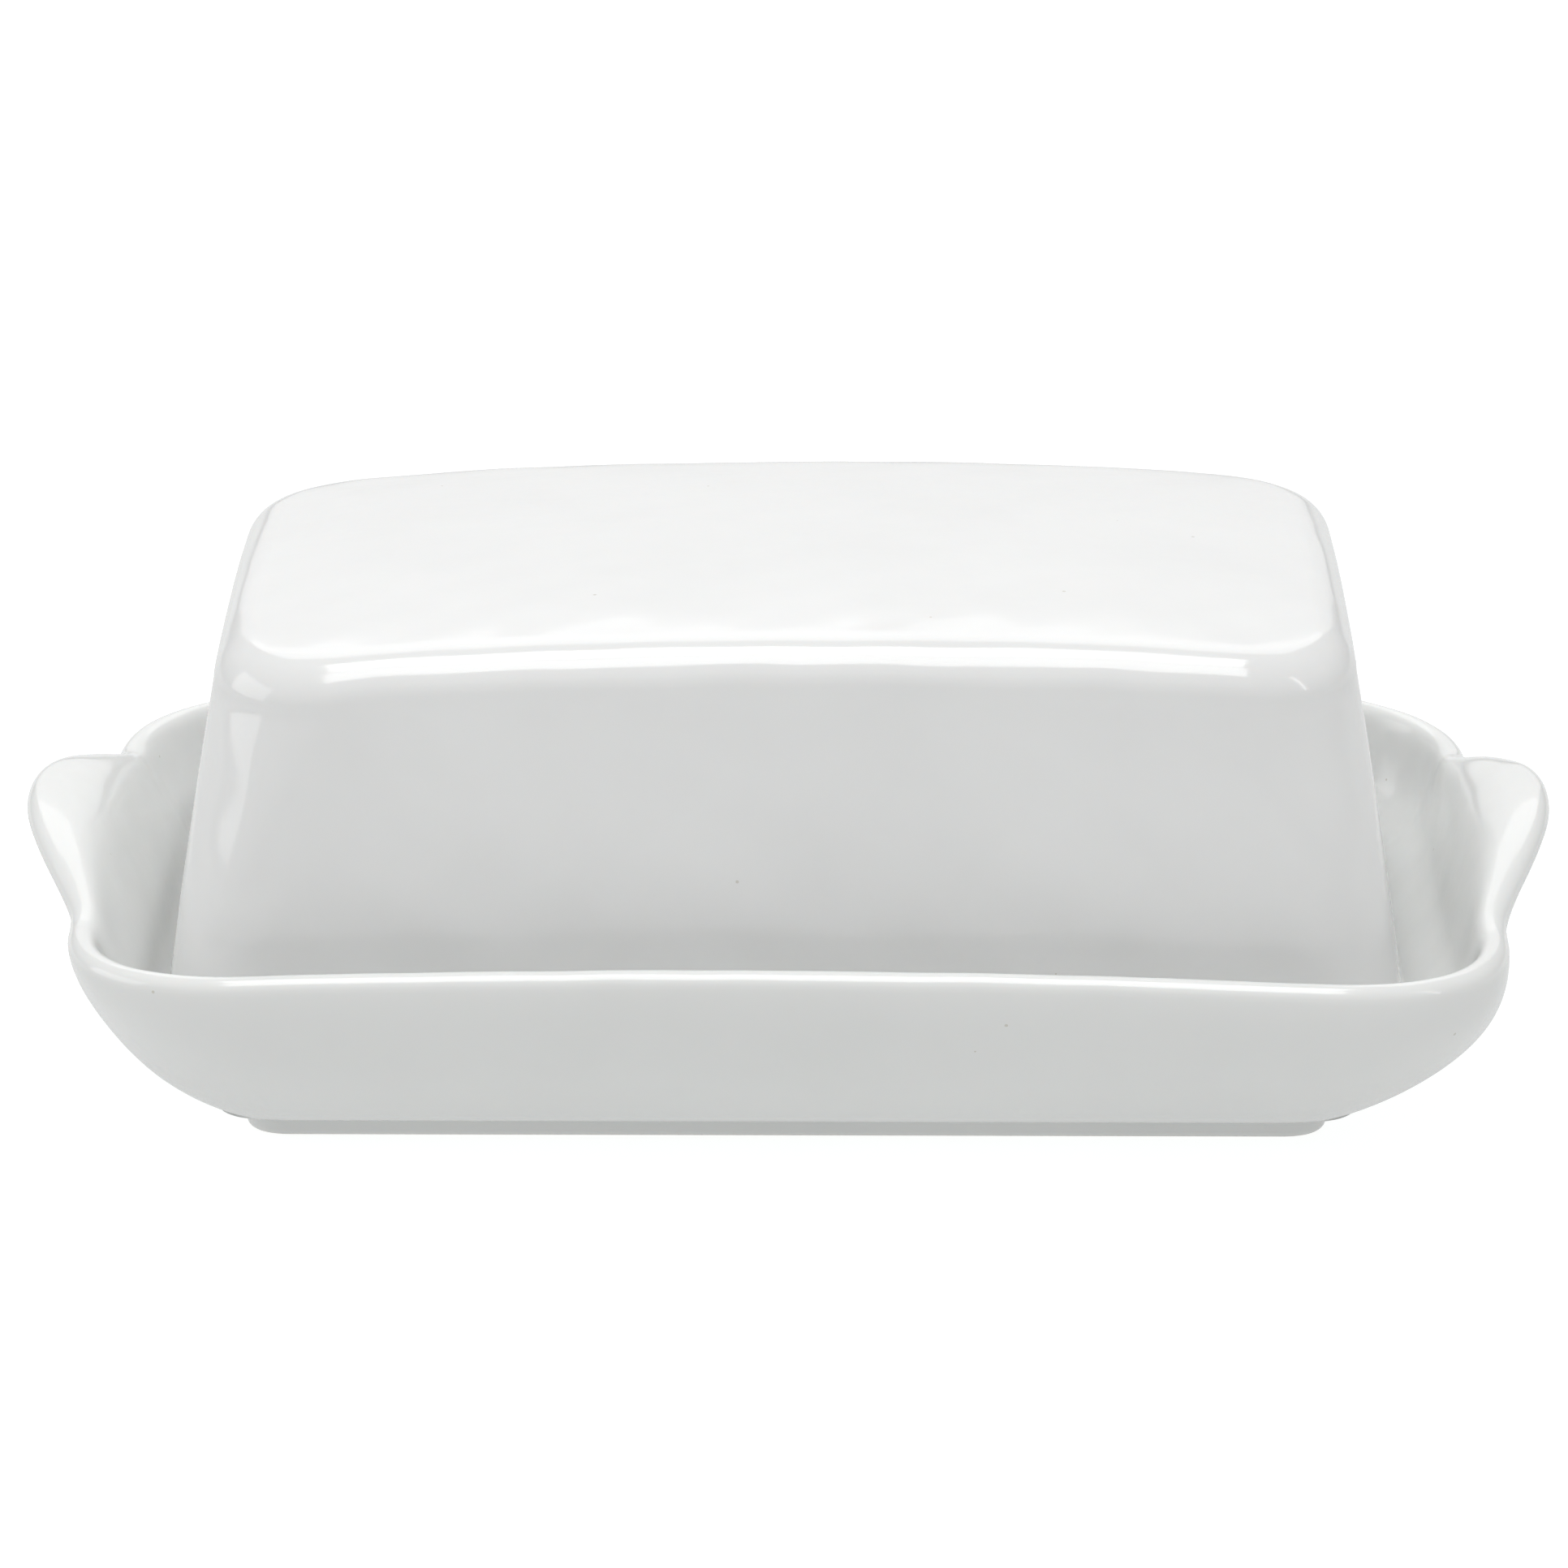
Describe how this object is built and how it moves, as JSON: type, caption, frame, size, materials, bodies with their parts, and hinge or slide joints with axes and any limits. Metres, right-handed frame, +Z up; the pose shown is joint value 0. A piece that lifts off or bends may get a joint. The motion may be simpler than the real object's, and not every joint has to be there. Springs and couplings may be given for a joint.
{
  "type": "butter dish",
  "caption": "Oblong glazed porcelain butter dish with ear-shaped lug handles and a loaf-shaped lift-off cover that stands on a ledge inside it.",
  "frame": {"origin": "middle of the foot ring's bottom face, on the table", "axes": "+Z up, X along the length with a handle at each end, Y across the width; the long sides face -Y and +Y"},
  "size_m": [0.2, 0.124, 0.0693],
  "materials": {
    "dish_porcelain": "white porcelain under a clear gloss glaze, bare ground foot ring",
    "lid_porcelain": "white porcelain under a clear gloss glaze, bare bottom edge"
  },
  "bodies": {
    "dish": {"dish": "dish_porcelain"},
    "lid": {"lid": "lid_porcelain"}
  },
  "joints": [
    {"name": "lid_lift", "type": "slide", "parent": "dish", "child": "lid", "axis": [0, 0, 1], "range_m": [0, 0.09]}
  ]
}
